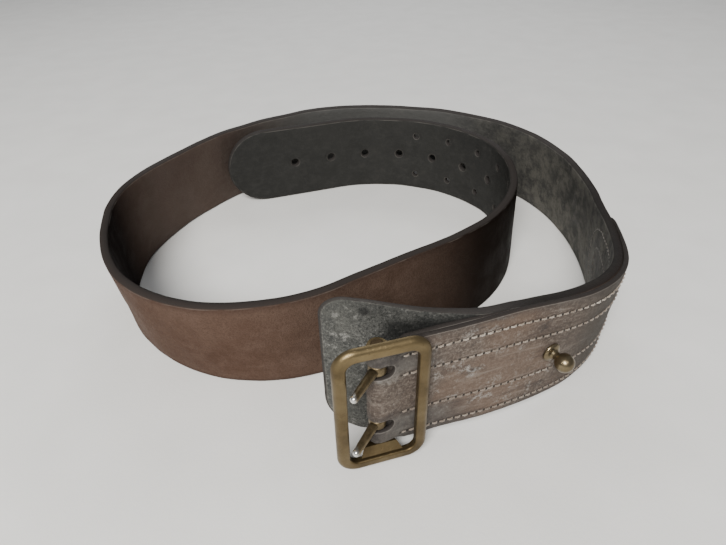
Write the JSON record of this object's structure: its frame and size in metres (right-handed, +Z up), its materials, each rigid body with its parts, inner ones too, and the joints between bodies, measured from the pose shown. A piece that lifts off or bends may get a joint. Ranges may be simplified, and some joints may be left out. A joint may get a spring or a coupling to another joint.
{
  "type": "waist belt",
  "caption": "Wide leather waist belt with a claw buckle, a ball stud and a punched billet end, standing on edge in a loose spiral.",
  "frame": {"origin": "under the middle of the whole coiled belt, on the plane of its lowest edge", "axes": "+Z up along the buckle's pin; at the buckle +X runs along the strap from the pin towards the chape's end and -Y out of its grain face"},
  "size_m": [0.2622, 0.2744, 0.0674],
  "materials": {
    "strap_leather": "worn, waxed harness leather",
    "chape_leather": "dry, scuffed leather",
    "thread": "waxed cream thread",
    "frame_brass": "antique, rubbed bright at the corners",
    "pin_brass": "dull",
    "claw_metal": "dark with polished tips",
    "stud_brass": "worn",
    "screw_steel": "dull nickel"
  },
  "bodies": {
    "belt": {"strap": "strap_leather", "chape": "chape_leather", "outer_stitching": "thread", "inner_stitching": "thread", "ball_stud": "stud_brass", "stud_washer": "screw_steel", "stud_screw": "screw_steel"},
    "buckle": {"buckle_frame": "frame_brass", "centre_pin": "pin_brass"},
    "upper_claw": {"upper_claw": "claw_metal"},
    "lower_claw": {"lower_claw": "claw_metal"}
  },
  "joints": [
    {"name": "buckle_hinge", "type": "hinge", "parent": "belt", "child": "buckle", "pos_m": [-0.0318, -0.1245, 0.033], "axis": [0, 0, 1], "range_deg": [-60, 5]},
    {"name": "upper_claw_hinge", "type": "hinge", "parent": "buckle", "child": "upper_claw", "pos_m": [-0.0318, -0.1245, 0.047], "axis": [0, 0, 1], "range_deg": [-7, 70]},
    {"name": "lower_claw_hinge", "type": "hinge", "parent": "buckle", "child": "lower_claw", "pos_m": [-0.0318, -0.1245, 0.019], "axis": [0, 0, 1], "range_deg": [-7, 70]}
  ]
}
